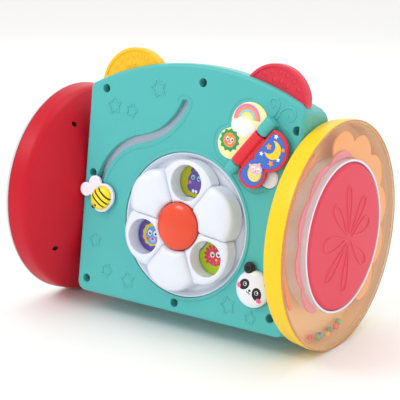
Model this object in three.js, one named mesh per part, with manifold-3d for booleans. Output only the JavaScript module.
// Baby activity cube: a wedge-shaped body held between two large round end drums.
// Units are millimetres, +Z up, +X along the drum axis towards the rattle drum, -Y towards the player.
// The toy stands on one flat of each drum, and x = 0, y = 0 is the middle of its footprint.
import * as THREE from "three";
import { mergeVertices } from "three/addons/utils/BufferGeometryUtils.js";
import Module from "manifold-3d";

// ---- Fits and walls ----
const GAP = 0.3; // between pieces that touch
const SLIP = 0.4; // radial room round a piece that moves
const WALL = 2.5; // moulded shells
const THIN = 1.8; // clear cover, trays and domes
const BEYOND = 400; // blocks this large reach past the toy on every side

// ---- End drums ----
const DRUM_R = 105;
const DRUM_SPAN = 303.2; // from one rim plane to the other
const PROUD = 6; // what stands out beyond each rim plane
const FACETS = 36; // a multiple of four, turned so that one flat lies exactly underneath
const RIM_LAND = 4; // straight part of each rim, which carries the toy
const YELLOW_BAND = 20;
const RED_BAND = 25;
const RED_DOME = 24; // how far the red drum's inner face swells towards the body
const RED_HUB_R = 50;
const BAND_TAPER = 2; // how much smaller each band is at its inner edge
const PAD_R = 67.4;
const PAD_CROWN = 2;
const SEAT_WALL = 2.2;
const COVER_LIFT = 3.4; // how far the clear cover bulges beyond the rim
const SEAT_LIFT = 4; // how far the pad's seat stands beyond the rim
const ORANGE_SHEET = { valley: 85, peak: 95, from: -60, to: 100, behindRim: 3.1 };
const PINK_SHEET = { valley: 71, peak: 78, from: 76, to: 238, behindRim: 1 };
const SHEET_T = 1.5;
const SHEET_LOBES = 6;
const MIRROR_R = 78;
const MIRROR_T = 1.5;
const RED_BOSS_R = 4.2;

// ---- Body ----
const FACE_OFFSET = 52.5; // from the drum axis to the front face
const FACE_LEAN = THREE.MathUtils.degToRad(7.5);
const FACE_BOTTOM = 91.4; // below the foot of the axis, along the face
const ARCH_RISE = 140; // top of the arch above the foot of the axis
const ARCH_R = 262;
const CORNER_R = 9;
const EDGE_R = 3.5; // rounding round the front face
const FRONT_DEPTH = 16; // the front shell, from its face to the seam
const ROOF_FALL = 0.14; // extra fall of the roof for each millimetre back
const BACK_FOOT_Y = 64; // back face where it meets the underside
const BACK_CREST = [2, 216]; // a point of the back face near its top: y, z

// ---- Screws ----
const SCREW_HEAD_R = 3.4;
const SCREW_HEAD_H = 2.4;
const SCREW_SHANK_R = 1.45;
const SCREW_LENGTH = 16;
const WELL_R = 4;
const WELL_DEPTH = 11;
const POST_R = 4.6; // posts inside the back shell that the screws bite into
const FACE_SCREWS = [
  [-83.5, 107], [24.7, 124.1], [125.4, 93.3], [-92.5, 25.1], [-91.2, -78.3], [13.1, -81.8], [116.1, -75.4],
];
const RED_SCREW_LENGTH = 25;
const RED_SCREW_R = 86;
const RED_SCREW_COUNT = 4;
const RED_SCREW_TURN = THREE.MathUtils.degToRad(60);

// ---- Bee and its S-shaped track ----
const SLOT_W = 7.6;
const SLOT_WALL_DEPTH = 6;
const LOWER_ARC = { centre: [-24.4, 5.2], r: 61.2, from: 185, to: 103 };
const UPPER_ARC_R = 63.7;
const UPPER_ARC_SWEEP = 55;
const TRACK_HALF_W = 9;
const BEE_PLATE_H = 3.6;
const RETAINER_R = 5.6; // the disc behind the shell that holds the bee in its slot
const BEE_BODY_H = 6;
const BEE_EDGE_R = 0.8;
const BEE_AT = [9.5, 3.5]; // middle of its body from its peg, in the face frame
const BEE_TURN = 0.9;
const BEE_BASE = [13.4, 11.2]; // half length and half width of the white base under the body
const BEE_CUSHION = [10.8, 9.4];
const BEE_WINGS = [{ at: [-0.5, 16.5], r: 7.2 }, { at: [-10.5, 9], r: 6.8 }, { at: [-2, 8], r: 8 }];
const TRACK_DEPTH = 2.8; // of the white channel behind the slot's walls

// ---- Flower ----
const FLOWER = [18.1, -7.4];
const OPENING_R = 67.2;
const RING_W = 3;
const RING_H = 1.4;
const PETAL_R = 41; // from the hub to the middle of each window
const LOBE_AT = 32; // from the hub to the middle of each petal's round end
const LOBE_R = 29.8;
const WINDOW_R = 16.4;
const PICTURE_T = 0.8;
const WINDOW_TURN = THREE.MathUtils.degToRad(83);
const WHEEL_BACK = 3; // the wheel's back, behind the face
const WHEEL_FRONT = 12; // its windowed petals, proud of the face
const PUFF = 6; // how much further the closed petals stand
const PUFF_SIZE = [19, 16.5]; // half length and half width of each closed petal's cushion
const PETAL_EDGE_R = 2.4;
const DISH_CLEAR = 2; // between the wheel's back and the picture dish
const RETAINER_ROOM = 4; // behind the dish, for the ring that holds the wheel
const HOOK = 1.6; // how far the dome's foot hooks outwards behind the hub
const HOOK_T = 1.5;
const BULB_R = 2.5;
const HUB_R = 24;
const HUB_BORE = 20.6;
const HUB_TOP = 7.6; // the fixed hub ends here, and the dome is pressed down towards it
const DOME_R = 22;
const DOME_TOP = 18.6;
const DOME_TRAVEL = 2.5;

// ---- Panda button and the white button ----
const PANDA = [98, -51.5];
const PANDA_R = 17;
const PANDA_TURN = THREE.MathUtils.degToRad(-27);
const EAR_R = 5.6;
const EAR_T = 4.4;
const WHITE_BUTTON = [102.3, 49];
const WHITE_BUTTON_R = 9.5;
const BUTTON_TRAVEL = 2;
const WHITE_TRAVEL = 1.2;
const FLANGE = 2; // rim that keeps each button behind the shell
const PANDA_WALL = 3; // height of the button's straight side
const PANDA_CROWN = 5.2;

// ---- Butterfly ----
const HINGE = [85.2, 76.4];
const HINGE_TURN = THREE.MathUtils.degToRad(51.8);
const BARREL_R = 5.8;
const HINGE_H = BARREL_R + SLIP; // hinge axis above the face
const PIN_R = 1.5;
const BARREL_SPAN = [-21.7, 13.2];
const KNUCKLE_SPAN = [-34, 31];
const UPPER_LOBE = { s: 9.5, w: 16.4, r: 19 };
const LOWER_LOBE = { s: -17, w: 17.8, r: 14.2 };
const PAGE_GAP = 0.8; // between the barrel's radius and the page's straight edge
const PAGE_EDGE = BARREL_R + PAGE_GAP;
const PAGE_H = 3.6;
const STICKER_H = 0.6;
const PAGE_RISE = 1.4; // top of the page above the hinge axis
const PAGE_BORDER = 2.6; // red frame round the night picture
const RECESS = 0.8;
const PIN_INSET = 2; // from each end of the knuckles

// ---- Crown ears, fixed ----
const CROWNS = [
  { name: "yellow_ear", u: -54.3, r: 38, drop: 19, colour: 0xffd23c }, // drop: centre below the roof line
  { name: "red_ear", u: 97, r: 34.5, drop: 14, colour: 0xe83c50 },
];
const CROWN_FRONT = 4.5; // its front face behind the front of the body
const CROWN_T = 9;

// ---- Electronics and power ----
const BOARD = { u: 45, v: 5, w: 150, h: 150 };
const BOARD_T = 1.6;
const BOARD_N = 20.5; // front of the circuit board, behind the face
const CELL_R = 7.1;
const CELL_L = 50;
const CELLS = 3;
const CELL_GAP = 0.8; // between neighbouring cells
const CELL_ROOM = 1.4; // between the row of cells and the tray
const CELL_PITCH = 2 * CELL_R + CELL_GAP;
const BAY_W = CELL_L + 8; // inside of the tray, with its end contacts
const BAY_H = (CELLS - 1) * CELL_PITCH + 2 * (CELL_R + CELL_ROOM);
const DOOR_BORDER = [8, 5]; // how much wider and taller the door is than the bay
const DOOR_FOOT = 12; // lower edge of the door above the underside
const DOOR_U = 14;
const DOOR_H = BAY_H + DOOR_BORDER[1];
const DOOR = { u: DOOR_U, up: DOOR_FOOT + DOOR_H / 2, w: BAY_W + DOOR_BORDER[0], h: DOOR_H };
const SPEAKER_R = 25;
const SPEAKER_DEPTH = 16;
const MAGNET_R = 11;
const SPEAKER_AT = [-55, 62];
const SWITCH_AT = [80, 52];
const SWITCH_TRAVEL = 6;
const SWITCH_STEM = 6;
const SWITCH_SHOE = 10;
const GRILLE_R = 1.8;
const PAD_POST_R = 6;

// ---- Beads ----
const BEAD_R = 3.2;
const BEADS = 7;
const BEAD_PITCH_DEG = 5.2;
const BEAD_AT = 7; // first row, from the back of the yellow drum
const BEAD_STAGGER = 2.2;
const BEAD_TINTS = [0x3cb09a, 0xf06a7e, 0x6cc46a, 0x58a8d8, 0xf4c84a];

// ---- Derived sizes ----
const RIM_X = DRUM_SPAN / 2;
const YELLOW_BACK_X = RIM_X - YELLOW_BAND;
const RED_FACE_X = RIM_X - RED_BAND;
const BODY_LEFT = -(RED_FACE_X - RED_DOME - GAP);
const BODY_RIGHT = YELLOW_BACK_X - GAP;
const BODY_MID = (BODY_LEFT + BODY_RIGHT) / 2;
const ARCH_U = BODY_MID + 5; // the arch peaks a little right of the middle
const SEAM = -FRONT_DEPTH;
const SCREW_SEAT = -WELL_DEPTH - SCREW_HEAD_H + GAP; // under each face screw's head
const BEHIND = 150; // deeper than the body at any height
const SEAT_OUTER_R = PAD_R + GAP + SEAT_WALL;
const LOWER_TO = THREE.MathUtils.degToRad(LOWER_ARC.to);
const LOWER_FROM = THREE.MathUtils.degToRad(LOWER_ARC.from);

const wasm = await Module();
wasm.setup();

// ---- Solids ----
function solidOf(geometry) {
  const bare = geometry.index ? geometry.toNonIndexed() : geometry.clone();
  bare.deleteAttribute("normal");
  bare.deleteAttribute("uv");
  const merged = mergeVertices(bare, 1e-4);
  const triVerts = new Uint32Array(merged.index.array);
  const make = () => new wasm.Manifold(
    new wasm.Mesh({ numProp: 3, vertProperties: merged.attributes.position.array, triVerts }));
  const made = make();
  if (made.volume() >= 0) return made;
  for (let i = 0; i < triVerts.length; i += 3)
    [triVerts[i + 1], triVerts[i + 2]] = [triVerts[i + 2], triVerts[i + 1]];
  return make();
}

function geometryOf(solid) {
  const mesh = solid.getMesh();
  const geometry = new THREE.BufferGeometry();
  const position = new Float32Array(mesh.numVert * 3);
  for (let i = 0; i < mesh.numVert; i++)
    position.set(mesh.vertProperties.subarray(i * mesh.numProp, i * mesh.numProp + 3), i * 3);
  geometry.setAttribute("position", new THREE.BufferAttribute(position, 3));
  geometry.setIndex(new THREE.BufferAttribute(new Uint32Array(mesh.triVerts), 1));
  const flat = geometry.toNonIndexed();
  flat.computeVertexNormals();
  return flat;
}

const union = (list) => list.reduce((all, next) => all.add(next));

// A flat outline raised from z = from to z = to, with an optional rounded edge at its top.
function prism(shape, from, to, edge = 0, segments = 3) {
  const geometry = new THREE.ExtrudeGeometry(shape, {
    depth: to - from - 2 * edge,
    bevelEnabled: edge > 0,
    bevelThickness: edge,
    bevelSize: edge,
    bevelOffset: -edge,
    bevelSegments: 2,
    curveSegments: segments,
  });
  return geometry.translate(0, 0, from + edge);
}

// A closed [radius, z] outline turned about Z. Radii are to the flats, and one flat faces each axis.
function turned(profile, segments = FACETS) {
  const grow = 1 / Math.cos(Math.PI / segments);
  const points = profile.map(([r, z]) => new THREE.Vector2(r * grow, z));
  if (profile[0][0] > 0) points.push(points[0].clone());
  const geometry = new THREE.LatheGeometry(points, segments, Math.PI / segments);
  return geometry.rotateX(Math.PI / 2);
}

const disc = (r, from, to, segments = 24) =>
  turned([[0, from], [r, from], [r, to], [0, to]], segments);
const tube = (outer, inner, from, to, segments = 24) =>
  turned([[inner, from], [outer, from], [outer, to], [inner, to]], segments);
const at = (geometry, u, v, n = 0) => geometry.translate(u, v, n);

function circle(u, v, r) {
  const shape = new THREE.Shape();
  shape.absarc(u, v, r, 0, 2 * Math.PI, false);
  return shape;
}

// An outline through [x, y] points.
const outline = (points) => new THREE.Shape(points.map(([x, y]) => new THREE.Vector2(x, y)));

function roundedBox(w, h, r) {
  const shape = new THREE.Shape();
  shape.absarc(w / 2 - r, -h / 2 + r, r, -Math.PI / 2, 0);
  shape.absarc(w / 2 - r, h / 2 - r, r, 0, Math.PI / 2);
  shape.absarc(-w / 2 + r, h / 2 - r, r, Math.PI / 2, Math.PI);
  shape.absarc(-w / 2 + r, -h / 2 + r, r, Math.PI, 1.5 * Math.PI);
  return shape;
}

// Points along an arc, both ends included, angles in radians.
function arcPoints([cx, cy], r, from, to, steps) {
  return Array.from({ length: steps + 1 }, (_, i) => {
    const a = from + ((to - from) * i) / steps;
    return [cx + r * Math.cos(a), cy + r * Math.sin(a)];
  });
}

// ---- Frames of the faces ----
// The face frame has u along X, v up the face and n out of it.
const faceFrame = new THREE.Matrix4()
  .makeTranslation(0, -FACE_OFFSET * Math.cos(FACE_LEAN), DRUM_R + FACE_OFFSET * Math.sin(FACE_LEAN))
  .multiply(new THREE.Matrix4().makeRotationX(Math.PI / 2 - FACE_LEAN));
const roofShear = new THREE.Matrix4().set(1, 0, 0, 0, 0, 1, ROOF_FALL, 0, 0, 0, 1, 0, 0, 0, 0, 1);
const seamFoot = new THREE.Vector3(0, -FACE_BOTTOM, SEAM).applyMatrix4(roofShear).applyMatrix4(faceFrame);
const UNDERSIDE_Z = seamFoot.z;
const BACK_LEAN = Math.atan2(BACK_FOOT_Y - BACK_CREST[0], BACK_CREST[1] - UNDERSIDE_Z);
// The back frame has x to the right as seen from behind, y up the back face and z out of it.
const backFrame = new THREE.Matrix4()
  .makeTranslation(0, BACK_FOOT_Y, UNDERSIDE_Z)
  .multiply(new THREE.Matrix4().makeRotationZ(Math.PI))
  .multiply(new THREE.Matrix4().makeRotationX(Math.PI / 2 - BACK_LEAN));
const rightFrame = new THREE.Matrix4()
  .makeTranslation(0, 0, DRUM_R).multiply(new THREE.Matrix4().makeRotationY(Math.PI / 2));
const leftFrame = new THREE.Matrix4()
  .makeTranslation(0, 0, DRUM_R).multiply(new THREE.Matrix4().makeRotationY(-Math.PI / 2));
const hingeFrame = new THREE.Matrix4()
  .makeTranslation(HINGE[0], HINGE[1], 0).multiply(new THREE.Matrix4().makeRotationZ(HINGE_TURN));

// ---- Groups and materials ----
const toy = new THREE.Group();
function groupAt(matrix, parent = toy) {
  const group = new THREE.Group();
  matrix.decompose(group.position, group.quaternion, group.scale);
  parent.add(group);
  return group;
}
const onFace = groupAt(faceFrame);
const onHinge = groupAt(hingeFrame, onFace);
const onBack = groupAt(backFrame);
const onRight = groupAt(rightFrame);
const onLeft = groupAt(leftFrame);

function plastic(color, roughness = 0.35, opacity = 1) {
  return new THREE.MeshStandardMaterial({
    color, roughness, metalness: 0, opacity, transparent: opacity < 1,
  });
}
const teal = plastic(0x5cc4bc);
const red = plastic(0xdc2c44);
const white = plastic(0xf2f3f8);
const yellow = plastic(0xffd83a);
const orange = plastic(0xf2603c);
const black = plastic(0x18181a, 0.4);
const steel = new THREE.MeshStandardMaterial({ color: 0xb8babd, roughness: 0.3, metalness: 1 });

function piece(name, solid, material, parent = toy) {
  const geometry = solid.isBufferGeometry ? geometryOf(solidOf(solid)) : geometryOf(solid);
  const mesh = new THREE.Mesh(geometry, material);
  mesh.name = name;
  parent.add(mesh);
  return mesh;
}

// ---- Body outline: straight foot and sides, round corners, arched top ----
function bodyOutline(inset, drop = 0) {
  const left = BODY_LEFT + inset;
  const right = BODY_RIGHT - inset;
  const foot = -FACE_BOTTOM + inset - drop;
  const r = Math.max(CORNER_R - inset, 1);
  const archR = ARCH_R - inset;
  const archV = ARCH_RISE - ARCH_R;
  const topAt = (u) => archV + Math.sqrt(archR ** 2 - (u - ARCH_U) ** 2);
  const cut = 5; // how far in from each side the roof arc gives way to the corner
  const rightEnd = Math.atan2(topAt(right - cut) - archV, right - cut - ARCH_U);
  const leftEnd = Math.atan2(topAt(left + cut) - archV, left + cut - ARCH_U);
  return outline([
    ...arcPoints([left + r, foot + r], r, Math.PI, 1.5 * Math.PI, 4),
    ...arcPoints([right - r, foot + r], r, -Math.PI / 2, 0, 4),
    [right, topAt(right) - cut],
    [right - cut / 4, topAt(right) - cut / 4],
    ...arcPoints([ARCH_U, archV], archR, rightEnd, leftEnd, 16),
    [left + cut / 4, topAt(left) - cut / 4],
    [left, topAt(left) - cut],
  ]);
}
const roofAt = (u) => ARCH_RISE - ARCH_R + Math.sqrt(ARCH_R ** 2 - (u - ARCH_U) ** 2);

// ---- Track of the bee, as a centre line in the face frame ----
const lowerEnd = [
  LOWER_ARC.centre[0] + LOWER_ARC.r * Math.cos(LOWER_TO),
  LOWER_ARC.centre[1] + LOWER_ARC.r * Math.sin(LOWER_TO),
];
const upperCentre = [
  lowerEnd[0] + UPPER_ARC_R * Math.cos(LOWER_TO),
  lowerEnd[1] + UPPER_ARC_R * Math.sin(LOWER_TO),
];
const trackLine = [
  ...arcPoints(LOWER_ARC.centre, LOWER_ARC.r, LOWER_FROM, LOWER_TO, 14),
  ...arcPoints(upperCentre, UPPER_ARC_R, LOWER_TO + Math.PI,
    LOWER_TO + Math.PI + THREE.MathUtils.degToRad(UPPER_ARC_SWEEP), 9).slice(1),
];
const beeHome = trackLine[0];

// A band of half-width h along the track, with round ends.
function trackBand(h) {
  const left = [];
  const right = [];
  trackLine.forEach(([x, y], i) => {
    const [ax, ay] = trackLine[Math.max(i - 1, 0)];
    const [bx, by] = trackLine[Math.min(i + 1, trackLine.length - 1)];
    const length = Math.hypot(bx - ax, by - ay);
    const nx = (-(by - ay) / length) * h;
    const ny = ((bx - ax) / length) * h;
    left.push([x + nx, y + ny]);
    right.push([x - nx, y - ny]);
  });
  const cap = (centre, start) => {
    const from = Math.atan2(start[1] - centre[1], start[0] - centre[0]);
    return arcPoints(centre, h, from, from - Math.PI, 6).slice(1, -1);
  };
  right.reverse();
  return outline([
    ...left, ...cap(trackLine.at(-1), left.at(-1)), ...right, ...cap(beeHome, right.at(-1)),
  ]);
}

// ---- Front shell ----
const crownDisc = ({ u, r, drop }, grow, back, front) =>
  at(disc(r + grow, back, front, 32), u, roofAt(u) - drop);
const wellBosses = (grow, segments = 10) => union(FACE_SCREWS.map(([u, v]) =>
  solidOf(at(disc(WELL_R + THIN + grow, SEAM, -WALL / 2, segments), u, v))));
const crownSlots = CROWNS.map((ear) =>
  solidOf(crownDisc(ear, GAP, -(CROWN_FRONT + CROWN_T + GAP), -(CROWN_FRONT - GAP)))
    .subtract(solidOf(prism(bodyOutline(2 * WALL + GAP), SEAM, 0))).subtract(wellBosses(0)));
function crown(ear) {
  const inner = solidOf(prism(bodyOutline(2 * WALL), -FRONT_DEPTH - CROWN_T, 0));
  const betweenDrums = solidOf(new THREE.BoxGeometry(BODY_RIGHT - BODY_LEFT, BEYOND, BEYOND)
    .translate(BODY_MID, 0, 0));
  return solidOf(crownDisc(ear, 0, -(CROWN_FRONT + CROWN_T), -CROWN_FRONT))
    .subtract(inner).subtract(wellBosses(GAP)).intersect(betweenDrums);
}

const pandaEars = [1, -1].map((side) => {
  const a = PANDA_TURN + Math.PI / 2 + side * 0.72;
  return [PANDA[0] + (PANDA_R + 2) * Math.cos(a), PANDA[1] + (PANDA_R + 2) * Math.sin(a)];
});

// The two lobes of a butterfly wing in the hinge frame; side is -1 for the night page, 1 for the day wing.
function wingShapes(side, grow = 0) {
  return [UPPER_LOBE, LOWER_LOBE].map(({ s, w, r }) => circle(s, side * w, r + grow));
}
function wing(side, from, to, edge) {
  const lobes = union(wingShapes(side).map((shape) => solidOf(prism(shape, from, to, 0, 14))));
  return lobes.intersect(besideHinge(side, edge));
}
// Everything on one side of the hinge that is further from its axis than edge.
function besideHinge(side, edge) {
  return solidOf(new THREE.BoxGeometry(BEYOND, BEYOND, BEYOND)
    .translate(0, side * (edge + BEYOND / 2), 0));
}

const KNUCKLE_FOOT = SLIP + GAP;
const rodAlong = (from, to, r, segments = 16) =>
  disc(r, from, to, segments).rotateY(Math.PI / 2).translate(0, 0, HINGE_H);
function knuckles() {
  const blocks = [
    [KNUCKLE_SPAN[0], BARREL_SPAN[0] - KNUCKLE_FOOT],
    [BARREL_SPAN[1] + KNUCKLE_FOOT, KNUCKLE_SPAN[1]],
  ].map(([from, to]) => {
    const web = new THREE.BoxGeometry(to - from, 2 * BARREL_R, HINGE_H + 1)
      .translate((from + to) / 2, 0, (HINGE_H - 1) / 2);
    return solidOf(rodAlong(from, to, BARREL_R)).add(solidOf(web));
  });
  const pinHole = rodAlong(KNUCKLE_SPAN[0] + PIN_INSET, KNUCKLE_SPAN[1] - PIN_INSET, PIN_R + GAP);
  return union(blocks).subtract(solidOf(pinHole));
}

function frontShell() {
  const skin = solidOf(prism(bodyOutline(0), SEAM - EDGE_R, 0, EDGE_R))
    .intersect(solidOf(prism(roundedBox(BEYOND, BEYOND, CORNER_R), SEAM, 1)));
  const hollow = solidOf(prism(bodyOutline(WALL), SEAM - 1, -WALL));
  const skirt = solidOf(prism(trackBand(SLOT_W / 2 + THIN), -SLOT_WALL_DEPTH, -WALL / 2));
  const openingRim = solidOf(at(tube(OPENING_R + RING_W, OPENING_R - 1, -WALL, RING_H, FACETS), ...FLOWER));
  const wells = FACE_SCREWS.flatMap(([u, v]) => [
    solidOf(at(disc(WELL_R, -WELL_DEPTH - SCREW_HEAD_H, 1, 10), u, v)),
    solidOf(at(disc(SCREW_SHANK_R + GAP, SEAM - 1, 0, 8), u, v)),
  ]);
  const holes = [
    solidOf(at(disc(OPENING_R, -30, 5, FACETS), ...FLOWER)),
    solidOf(prism(trackBand(SLOT_W / 2), -10, 2)),
    solidOf(at(disc(PANDA_R + SLIP, -10, 2, 24), ...PANDA)),
    solidOf(at(disc(WHITE_BUTTON_R + SLIP, -10, 2, 20), ...WHITE_BUTTON)),
    ...crownSlots,
  ];
  const hinge = solidOf(geometryOf(knuckles()).applyMatrix4(hingeFrame));
  return skin.subtract(hollow).add(union([wellBosses(0), skirt, openingRim, hinge]))
    .subtract(union([...wells, ...holes]));
}

// ---- Back shell ----
// The wedge behind the seam, shrunk by inset on every outer side and reaching forward to n = front.
function wedge(inset, front) {
  const block = prism(bodyOutline(inset, 70), -BEHIND, 0)
    .applyMatrix4(roofShear).applyMatrix4(faceFrame);
  const ahead = prism(roundedBox(BEYOND, BEYOND, CORNER_R), -BEHIND - 10, front).applyMatrix4(faceFrame);
  const foot = UNDERSIDE_Z + inset;
  const slope = Math.tan(BACK_LEAN);
  const backY = (z) => BACK_FOOT_Y - inset / Math.cos(BACK_LEAN) - (z - UNDERSIDE_Z) * slope;
  const r = CORNER_R - inset + 1;
  const heel = [backY(foot + r) - r / Math.cos(BACK_LEAN), foot + r]; // the rounding touches both faces
  const side = outline([
    [-BEYOND / 2, foot],
    ...arcPoints(heel, r, -Math.PI / 2, BACK_LEAN, 4),
    [backY(BEYOND), BEYOND],
    [-BEYOND / 2, BEYOND],
  ]);
  const section = prism(side, -BEYOND / 2, BEYOND / 2).applyMatrix4(
    new THREE.Matrix4().makeBasis(
      new THREE.Vector3(0, 1, 0), new THREE.Vector3(0, 0, 1), new THREE.Vector3(1, 0, 0)));
  const width = BODY_RIGHT - BODY_LEFT - 2 * inset;
  const footprint = prism(roundedBox(width, BEYOND, CORNER_R - inset / 2), -BEYOND / 2, BEYOND / 2)
    .rotateX(Math.PI / 2).translate(BODY_MID, 0, foot + BEYOND / 2);
  return [ahead, section, footprint].reduce((all, next) => all.intersect(solidOf(next)), solidOf(block));
}

const grille = [[0, 0], ...arcPoints([0, 0], 9, 0, 2 * Math.PI, 5).slice(1),
  ...arcPoints([0, 0], 18, 0, 2 * Math.PI, 8).slice(1)];

function backShell() {
  const outside = wedge(0, SEAM - GAP);
  const inside = wedge(WALL, SEAM + 5);
  const rod = ([u, v], r, from, to) => solidOf(at(disc(r, from, to, 8), u, v).applyMatrix4(faceFrame));
  const posts = union(FACE_SCREWS.map((spot) => rod(spot, POST_R, SEAM - BEHIND, SEAM - GAP)))
    .intersect(wedge(WALL / 2, SEAM - GAP));
  const pilots = union(FACE_SCREWS.map((spot) =>
    rod(spot, SCREW_SHANK_R + GAP, SCREW_SEAT - SCREW_LENGTH - 2 * GAP, SEAM + 4)));
  const doorHole = solidOf(at(prism(roundedBox(DOOR.w, DOOR.h, 4), -10, 5), -DOOR.u, DOOR.up)
    .applyMatrix4(backFrame));
  const grilleHoles = union(grille.map(([x, y]) =>
    solidOf(at(disc(GRILLE_R, -6, 4, 6), -SPEAKER_AT[0] + x, SPEAKER_AT[1] + y).applyMatrix4(backFrame))));
  const slotW = SWITCH_STEM + 2 * SLIP;
  const switchSlot = prism(roundedBox(SWITCH_TRAVEL + slotW, slotW, 1), -6, 4);
  const switchHole = solidOf(at(switchSlot, -SWITCH_AT[0] - SWITCH_TRAVEL / 2, SWITCH_AT[1])
    .applyMatrix4(backFrame));
  return outside.subtract(inside).add(posts)
    .subtract(union([pilots, doorHole, grilleHoles, switchHole]));
}

piece("front_shell", frontShell(), teal, onFace);
piece("back_shell", backShell(), teal);
CROWNS.forEach((ear) => piece(ear.name, crown(ear), plastic(ear.colour), onFace));

// ---- Screws ----
function screw(tip, head) {
  return solidOf(disc(SCREW_SHANK_R, tip, head, 6))
    .add(solidOf(disc(SCREW_HEAD_R, head - 0.01, head + SCREW_HEAD_H, 8)));
}
FACE_SCREWS.forEach(([u, v], i) => {
  const solid = screw(SCREW_SEAT - SCREW_LENGTH, SCREW_SEAT);
  const made = piece("face_screw_" + (i + 1), solid, steel, onFace);
  made.position.set(u, v, 0);
});

// ---- Track floor: a shallow white channel behind the slot ----
function trackFloor() {
  const top = -SLOT_WALL_DEPTH - TRACK_DEPTH;
  const trough = solidOf(prism(trackBand(TRACK_HALF_W), top - THIN, -WALL - GAP))
    .subtract(solidOf(prism(trackBand(TRACK_HALF_W - THIN), top, 0)));
  const openingRoom = solidOf(at(disc(OPENING_R + RING_W + GAP, -30, 0, FACETS), ...FLOWER));
  return trough.subtract(wellBosses(GAP)).subtract(openingRoom);
}
piece("track_floor", trackFloor(), white, onFace);

// ---- Bee ----
const BEE_REST = RING_H + GAP; // rides over the ring round the flower
const beeMiddle = [beeHome[0] + BEE_AT[0], beeHome[1] + BEE_AT[1]];
function beePlate() {
  const [u, v] = beeHome;
  const top = BEE_REST + BEE_PLATE_H;
  const bodyShape = new THREE.Shape();
  bodyShape.absellipse(...beeMiddle, ...BEE_BASE, 0, 2 * Math.PI, false, BEE_TURN);
  const wings = BEE_WINGS.map(({ at: [du, dv], r }) =>
    solidOf(prism(circle(u + du, v + dv, r), BEE_REST, top, BEE_EDGE_R, 5)));
  return union([
    solidOf(prism(bodyShape, BEE_REST, top, BEE_EDGE_R, 8)),
    ...wings,
    solidOf(at(disc(SLOT_W / 2 - SLIP, -SLOT_WALL_DEPTH - GAP, BEE_REST + 1, 12), u, v)),
  ]);
}
function beeBody() {
  const base = BEE_REST + BEE_PLATE_H + GAP;
  const dome = new THREE.SphereGeometry(1, 14, 8).scale(...BEE_CUSHION, BEE_BODY_H)
    .rotateZ(BEE_TURN).translate(...beeMiddle, base);
  return solidOf(dome).intersect(solidOf(at(disc(30, base, base + 20, 8), ...beeHome)));
}
const retainerTop = -SLOT_WALL_DEPTH - 2 * GAP;
piece("bee_base", beePlate(), white, onFace);
piece("bee_body", beeBody(), yellow, onFace);
piece("bee_retainer", at(disc(RETAINER_R, retainerTop - 1.5, retainerTop, 16), ...beeHome), white, onFace);

// ---- Flower: dish, hub, turning wheel and light dome, all centred on the opening ----
const flower = new THREE.Group();
flower.position.set(FLOWER[0], FLOWER[1], 0);
onFace.add(flower);
const dishTop = -WHEEL_BACK - DISH_CLEAR;
const dishBack = dishTop - THIN;
const SKIRT_R = HUB_R + SLIP + THIN;
const chamberBack = dishBack - RETAINER_ROOM;
const windowAngles = [0, 1, 2].map((i) => WINDOW_TURN + (i * 2 * Math.PI) / 3);
const puffAngles = windowAngles.map((a) => a + Math.PI / 3);
const onPetal = (a) => [PETAL_R * Math.cos(a), PETAL_R * Math.sin(a)];

function dish() {
  const outer = OPENING_R - GAP;
  const hole = SKIRT_R + SLIP;
  return solidOf(turned([
    [hole, dishTop], [hole, dishBack], [outer - 6, dishBack], [outer - 6, chamberBack + GAP],
    [outer - 4, chamberBack + GAP], [outer - 4, dishBack], [outer, -2], [outer, 0], [outer - 1.4, 0],
    [outer - 5.5, dishTop],
  ]));
}
function hub() {
  const plateR = OPENING_R - 5;
  const back = chamberBack - THIN;
  return solidOf(turned([
    [HUB_BORE, back], [plateR, back], [plateR, chamberBack], [HUB_R, chamberBack], [HUB_R, HUB_TOP],
    [HUB_BORE, HUB_TOP],
  ]));
}
function wheel() {
  const lobes = [...windowAngles, ...puffAngles].map((a) => {
    const lobe = circle(LOBE_AT * Math.cos(a), LOBE_AT * Math.sin(a), LOBE_R);
    return solidOf(prism(lobe, -WHEEL_BACK, WHEEL_FRONT, PETAL_EDGE_R, 9));
  });
  const puffs = puffAngles.map((a) => {
    const cushion = new THREE.SphereGeometry(1, 12, 6).scale(...PUFF_SIZE, PUFF).rotateZ(a);
    return solidOf(at(cushion, ...onPetal(a), WHEEL_FRONT - GAP));
  });
  const skirt = solidOf(tube(SKIRT_R, HUB_R + SLIP, dishBack - 2.6, 0));
  const windows = windowAngles.map((a) => solidOf(at(disc(WINDOW_R, -10, 30, 24), ...onPetal(a))));
  const bore = solidOf(disc(HUB_R + SLIP, -20, HUB_TOP + SLIP))
    .add(solidOf(disc(DOME_R + SLIP, HUB_TOP, 30)));
  return union([...lobes, ...puffs, skirt]).subtract(union([...windows, bore]));
}
function lightDome() {
  const rim = HUB_TOP + SLIP + DOME_TRAVEL;
  const skirtR = HUB_BORE - SLIP;
  const hook = chamberBack - THIN - GAP;
  const rise = arcPoints([0, 0], 1, 0.12, Math.PI / 2 - 0.2, 5)
    .map(([c, s]) => [DOME_R * c, rim + (DOME_TOP - rim) * s]);
  const under = rise.map(([r, z]) => [r - THIN, z - THIN]);
  return solidOf(turned([
    [0, DOME_TOP], ...rise.toReversed(), [DOME_R, rim], [skirtR, rim], [skirtR, hook],
    [HUB_BORE + HOOK, hook], [HUB_BORE + HOOK, hook - HOOK_T], [skirtR - THIN, hook - HOOK_T],
    ...under.filter(([r]) => r < skirtR - THIN), [0, DOME_TOP - THIN],
  ].reverse(), 24));
}
piece("picture_dish", dish(), white, flower);
piece("flower_hub", hub(), white, flower);
piece("flower_wheel", wheel(), white, flower);
piece("wheel_retaining_ring",
  tube(SKIRT_R + 6, SKIRT_R + GAP, dishBack - SLIP - 2, dishBack - SLIP), white, flower);
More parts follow.
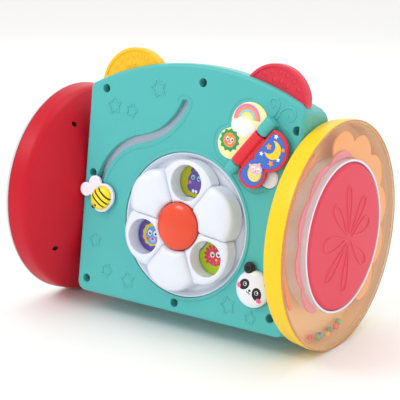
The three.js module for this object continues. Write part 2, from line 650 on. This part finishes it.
piece("light_dome", lightDome(), orange, flower);
const PICTURES = [["purple", 0xc6cc3c], ["blue", 0x7a5cb0], ["pink", 0xa4cc3c]];
PICTURES.forEach(([tint, ground], i) => {
  const card = disc(WINDOW_R, dishTop + GAP, dishTop + GAP + PICTURE_T, 24);
  const picture = solidOf(at(card, ...onPetal(windowAngles[i])))
    .subtract(solidOf(disc(SKIRT_R + SLIP, dishBack, 0)));
  piece(tint + "_animal_picture", picture, plastic(ground), flower);
});

// ---- Panda button and white button ----
const flangeTop = -WALL - GAP;
function pandaButton() {
  const dome = arcPoints([0, 0], 1, 0, Math.PI / 2, 5)
    .map(([c, s]) => [PANDA_R * c, PANDA_WALL + PANDA_CROWN * s]);
  const head = solidOf(at(turned([
    [0, flangeTop - FLANGE], [PANDA_R + FLANGE, flangeTop - FLANGE], [PANDA_R + FLANGE, flangeTop],
    [PANDA_R, flangeTop], ...dome.slice(0, -1), [0, PANDA_WALL + PANDA_CROWN],
  ], 24), ...PANDA));
  const low = BUTTON_TRAVEL + 2 * GAP;
  const ears = pandaEars.map(([u, v]) => solidOf(prism(circle(u, v, EAR_R), low, low + EAR_T, 1, 10)));
  return union([head, ...ears]);
}
function whiteButton() {
  const r = WHITE_BUTTON_R;
  return at(turned([
    [0, flangeTop - FLANGE], [r + FLANGE, flangeTop - FLANGE], [r + FLANGE, flangeTop],
    [r, flangeTop], [r, 0.6], [r - 2.5, 1.6], [0, 2],
  ], 20), ...WHITE_BUTTON);
}
piece("panda_button", pandaButton(), white, onFace);
piece("white_button", whiteButton(), white, onFace);

// ---- Butterfly: fixed day wing, hinge pin and the night page ----
const pageTop = HINGE_H + PAGE_RISE;
function nightPage() {
  const low = pageTop - PAGE_H;
  const frame = wing(-1, low, pageTop, PAGE_EDGE);
  const barrel = solidOf(rodAlong(...BARREL_SPAN, BARREL_R));
  const web = solidOf(new THREE.BoxGeometry(BARREL_SPAN[1] - BARREL_SPAN[0], PAGE_EDGE + 1, PAGE_H)
    .translate((BARREL_SPAN[0] + BARREL_SPAN[1]) / 2, -(PAGE_EDGE + 1) / 2, low + PAGE_H / 2));
  const bore = solidOf(rodAlong(BARREL_SPAN[0] - 1, BARREL_SPAN[1] + 1, PIN_R + 2 * GAP, 10));
  const recess = pictureBlock(pageTop - RECESS, pageTop + 1, GAP);
  return union([frame, barrel, web]).subtract(bore).subtract(recess);
}
// The night picture's outline, which is the page's own drawn in by its border.
function pictureBlock(from, to, grow) {
  const lobes = wingShapes(-1, grow - PAGE_BORDER).map((shape) => solidOf(prism(shape, from, to, 0, 12)));
  return union(lobes).intersect(besideHinge(-1, PAGE_EDGE + PAGE_BORDER - grow));
}
const pinFrom = KNUCKLE_SPAN[0] + PIN_INSET + GAP;
const pinTo = KNUCKLE_SPAN[1] - PIN_INSET - GAP;
piece("day_wing", wing(1, GAP, STICKER_H + GAP, PAGE_EDGE + 2 * GAP), plastic(0xf6efb0), onHinge);
piece("night_page", nightPage(), red, onHinge);
piece("night_picture", pictureBlock(pageTop - RECESS + GAP, pageTop + GAP, 0), plastic(0x5a84d8), onHinge);
piece("hinge_pin", rodAlong(pinFrom, pinTo, PIN_R, 8), steel, onHinge);

// ---- Yellow rattle drum at the right ----
const drumX = (depth) => RIM_X - depth;
function yellowShell() {
  const r = DRUM_R;
  return solidOf(turned([
    [0, YELLOW_BACK_X], [r - BAND_TAPER - 2, YELLOW_BACK_X], [r - BAND_TAPER, YELLOW_BACK_X + 2],
    [r, drumX(RIM_LAND)], [r, RIM_X], [r - WALL, RIM_X], [r - WALL, drumX(RIM_LAND)],
    [r - WALL - BAND_TAPER, YELLOW_BACK_X + WALL], [0, YELLOW_BACK_X + WALL],
  ]));
}
const seatBack = YELLOW_BACK_X + WALL + GAP;
const ringFront = RIM_X + SEAT_LIFT;
const seatFloor = seatBack + 2;
function padSeat() {
  const outer = SEAT_OUTER_R;
  const inner = PAD_R + GAP;
  return solidOf(turned([
    [0, seatBack], [outer, seatBack], [outer, ringFront], [inner, ringFront], [inner, seatFloor],
    [0, seatFloor],
  ]));
}
function clearCover() {
  const outer = DRUM_R;
  const inner = SEAT_OUTER_R + GAP;
  const low = RIM_X + GAP;
  const crest = [(outer + inner) / 2 + 6, low + COVER_LIFT];
  const tuck = outer - WALL - GAP; // the cover's skirt fits inside the yellow rim
  const edge = drumX(RIM_LAND);
  return solidOf(turned([
    [tuck - THIN, edge], [tuck, edge], [tuck, low], [outer, low], [outer, low + 0.7], [outer - 2, low + 2],
    crest, [inner, ringFront - 0.2], [inner, ringFront - 0.2 - THIN], [crest[0], crest[1] - THIN],
    [tuck - THIN, low + 0.6],
  ]));
}
function drumPad() {
  const crownX = RIM_X + PROUD;
  const edgeX = crownX - PAD_CROWN;
  const r = PAD_R;
  const cap = solidOf(turned([
    [0, crownX - WALL], [r - WALL, edgeX - WALL], [r - WALL, edgeX - PROUD], [r, edgeX - PROUD],
    [r, edgeX - 1.2], [r - 1.2, edgeX], [r * 0.6, edgeX + PAD_CROWN * 0.64], [0, crownX],
  ]));
  return cap.add(solidOf(disc(PAD_POST_R, seatFloor + 2 * BUTTON_TRAVEL, crownX - WALL / 2, 16)));
}
// A scalloped sector of a ring between two angles, measured from +Y towards +Z.
function petalSector({ valley, peak, from, to, behindRim }) {
  const inner = SEAT_OUTER_R + 3 * GAP;
  const steps = SHEET_LOBES * 6;
  const angle = (i) => THREE.MathUtils.degToRad(from + ((to - from) * i) / steps);
  const spot = (r, a) => [-r * Math.sin(a), r * Math.cos(a)];
  const rim = Array.from({ length: steps + 1 }, (_, i) =>
    spot(valley + (peak - valley) * Math.abs(Math.sin((Math.PI * i) / 6)) ** 0.7, angle(i)));
  const back = Array.from({ length: steps / 2 + 1 }, (_, i) => spot(inner, angle(steps - 2 * i)));
  return prism(outline([...rim, ...back]), drumX(behindRim) - SHEET_T, drumX(behindRim));
}
piece("yellow_drum_shell", yellowShell(), yellow, onRight);
piece("pad_seat", padSeat(), white, onRight);
piece("clear_cover", clearCover(), plastic(0xf6dcd8, 0.15, 0.35), onRight);
piece("drum_pad", drumPad(), plastic(0xe85064, 0.45), onRight);
piece("orange_petals", petalSector(ORANGE_SHEET), plastic(0xffb070), onRight);
piece("pink_petals", petalSector(PINK_SHEET), plastic(0xf4a0b4), onRight);
for (let i = 0; i < BEADS; i++) {
  const r = DRUM_R - WALL - BAND_TAPER - THIN - BEAD_R;
  const a = THREE.MathUtils.degToRad((i - (BEADS - 1) / 2) * BEAD_PITCH_DEG);
  const tint = plastic(BEAD_TINTS[i % BEAD_TINTS.length]);
  const bead = piece("bead_" + (i + 1), new THREE.SphereGeometry(BEAD_R, 8, 6), tint, onRight);
  bead.position.set(r * Math.cos(a), r * Math.sin(a), YELLOW_BACK_X + BEAD_AT + BEAD_STAGGER * (i % 2));
}

// ---- Red mirror drum at the left ----
const redInnerX = RED_FACE_X - RED_DOME;
const redScrewSpots = Array.from({ length: RED_SCREW_COUNT }, (_, i) => {
  const a = RED_SCREW_TURN + (i * 2 * Math.PI) / RED_SCREW_COUNT;
  return [RED_SCREW_R * Math.cos(a), RED_SCREW_R * Math.sin(a)];
});
const atRedScrews = (...size) => union(redScrewSpots.map((spot) => solidOf(at(disc(...size), ...spot))));
function redShell() {
  const r = DRUM_R;
  const faceR = r - BAND_TAPER - 7;
  const steps = 6;
  const swell = Array.from({ length: steps + 1 }, (_, i) => {
    const t = i / steps;
    return [RED_HUB_R + (faceR - RED_HUB_R) * t, redInnerX + (RED_DOME * (t * t + t)) / 2];
  });
  const lifted = (inwards, along) => swell.map(([radius, x]) => [radius - inwards, x + along]).reverse();
  const shell = solidOf(turned([
    [0, redInnerX], ...swell, [r - BAND_TAPER - 1.5, RED_FACE_X + 4], [r, drumX(RIM_LAND)], [r, RIM_X],
    [r - WALL, RIM_X], [r - WALL - 1, RED_FACE_X + 5], ...lifted(1, WALL), [0, redInnerX + WALL],
  ]));
  const outside = solidOf(turned([
    [0, redInnerX - 40], [r + 20, redInnerX - 40], [r + 20, RED_FACE_X + 4], [faceR, RED_FACE_X + 1],
    ...lifted(0, 0.6), [0, redInnerX + 0.6],
  ]));
  const inside = solidOf(disc(r - 1, redInnerX, RIM_X - 1, 24)).subtract(outside);
  const bosses = atRedScrews(RED_BOSS_R, redInnerX, RIM_X - GAP, 12).intersect(inside);
  return shell.add(bosses)
    .subtract(atRedScrews(SCREW_HEAD_R + GAP, redInnerX - 5, RED_FACE_X + 2, 12))
    .subtract(atRedScrews(SCREW_SHANK_R + GAP, RED_FACE_X - 5, RIM_X + 5, 8));
}
function mirrorBezel() {
  const r = DRUM_R;
  const low = RIM_X + GAP;
  const top = RIM_X + PROUD;
  const frame = solidOf(turned([
    [MIRROR_R - 3, low], [r, low], [r, low + 1.4], [r - 2.4, top - 1], [r - 5, top], [MIRROR_R + 1, top],
    [MIRROR_R - 3, top - 2],
  ]));
  return frame.subtract(atRedScrews(SCREW_SHANK_R + GAP, low - 1, top - 1.5, 8))
    .subtract(solidOf(disc(MIRROR_R, low - 1, mirrorBack + MIRROR_T + GAP, FACETS)));
}
const mirrorBack = RIM_X + GAP + SLIP;
piece("red_drum_shell", redShell(), red, onLeft);
piece("mirror_bezel", mirrorBezel(), plastic(0xd8dde2, 0.2), onLeft);
piece("mirror", disc(MIRROR_R - GAP, mirrorBack, mirrorBack + MIRROR_T, FACETS),
  new THREE.MeshStandardMaterial({ color: 0xe8eaec, roughness: 0.05, metalness: 1 }), onLeft);
redScrewSpots.forEach(([y, z], i) => {
  const solid = screw(-RED_SCREW_LENGTH, 0).rotate([180, 0, 0]);
  const made = piece("red_drum_screw_" + (i + 1), solid, steel, onLeft);
  made.position.set(y, z, RED_FACE_X + 2 - GAP);
});

// ---- Inside the body ----
const domeBottom = chamberBack - THIN - GAP - HOOK_T;
const buttonBack = flangeTop - FLANGE;
const SWITCHES = [
  { u: FLOWER[0] + 19.3, v: FLOWER[1], r: 2, top: domeBottom - DOME_TRAVEL - GAP },
  { u: PANDA[0], v: PANDA[1], r: 4, top: buttonBack - BUTTON_TRAVEL - GAP },
  { u: WHITE_BUTTON[0], v: WHITE_BUTTON[1], r: 4, top: buttonBack - WHITE_TRAVEL - GAP },
];
function circuitBoard() {
  const sheet = prism(roundedBox(BOARD.w, BOARD.h, 6), -BOARD_N - BOARD_T, -BOARD_N);
  const plate = solidOf(at(sheet, BOARD.u, BOARD.v));
  const room = FACE_SCREWS.map(([u, v]) =>
    solidOf(at(disc(POST_R + 1, -BOARD_N - 5, -BOARD_N + 5, 10), u, v)));
  const domes = SWITCHES.map(({ u, v, r, top }) => solidOf(at(disc(r, -BOARD_N - 0.5, top, 10), u, v)));
  return plate.subtract(union(room)).add(union(domes));
}
piece("circuit_board", circuitBoard(), plastic(0x2c6e48, 0.5), onFace);
const boardFront = -BOARD_N + GAP;
const bulb = turned([
  [0, boardFront], [BULB_R, boardFront], [BULB_R, -4], [BULB_R - 0.9, -2.4], [0, -2],
], 12);
piece("light_bulb", at(bulb, ...FLOWER), plastic(0xfff4d0, 0.1), onFace);
piece("pad_switch", disc(PAD_POST_R - 1, seatFloor + GAP, seatFloor + 1.4, 12), black, onRight);

const TRAY_DEPTH = 2 * CELL_R + 2;
const trayMouth = -WALL - GAP;
function batteryTray() {
  const floor = trayMouth - TRAY_DEPTH;
  const outer = prism(roundedBox(BAY_W + 4, BAY_H + 3, 3), floor - THIN, trayMouth);
  const inner = prism(roundedBox(BAY_W, BAY_H, 2), floor, 0);
  return solidOf(at(outer, -DOOR.u, DOOR.up)).subtract(solidOf(at(inner, -DOOR.u, DOOR.up)));
}
piece("battery_tray", batteryTray(), black, onBack);
const door = prism(roundedBox(DOOR.w - 2 * GAP, DOOR.h - 2 * GAP, 4), -WALL, 0);
piece("battery_door", at(door, -DOOR.u, DOOR.up), teal, onBack);
for (let i = 0; i < CELLS; i++) {
  const can = disc(CELL_R, -CELL_L / 2, CELL_L / 2, 12).rotateY(Math.PI / 2);
  const cell = piece("battery_" + (i + 1), can, steel, onBack);
  const up = DOOR.up + (i - (CELLS - 1) / 2) * CELL_PITCH;
  cell.position.set(-DOOR.u, up, trayMouth - TRAY_DEPTH + CELL_R + 2 * GAP);
}
const speaker = turned([
  [0, -WALL - SPEAKER_DEPTH], [MAGNET_R, -WALL - SPEAKER_DEPTH], [MAGNET_R, -WALL - SPEAKER_DEPTH / 2],
  [SPEAKER_R, -WALL - 4], [SPEAKER_R, trayMouth], [0, trayMouth],
], 24);
piece("speaker", at(speaker, -SPEAKER_AT[0], SPEAKER_AT[1]), black, onBack);
function switchKnob() {
  const stem = solidOf(prism(roundedBox(SWITCH_STEM, SWITCH_STEM, 0.8), -WALL - 1, 2));
  const shoe = solidOf(prism(roundedBox(SWITCH_SHOE, SWITCH_SHOE, 0.8), trayMouth - 2, trayMouth));
  return stem.add(shoe);
}
const knob = piece("power_switch_knob", switchKnob(), black, onBack);
knob.position.set(-SWITCH_AT[0], SWITCH_AT[1], 0);

export default toy;
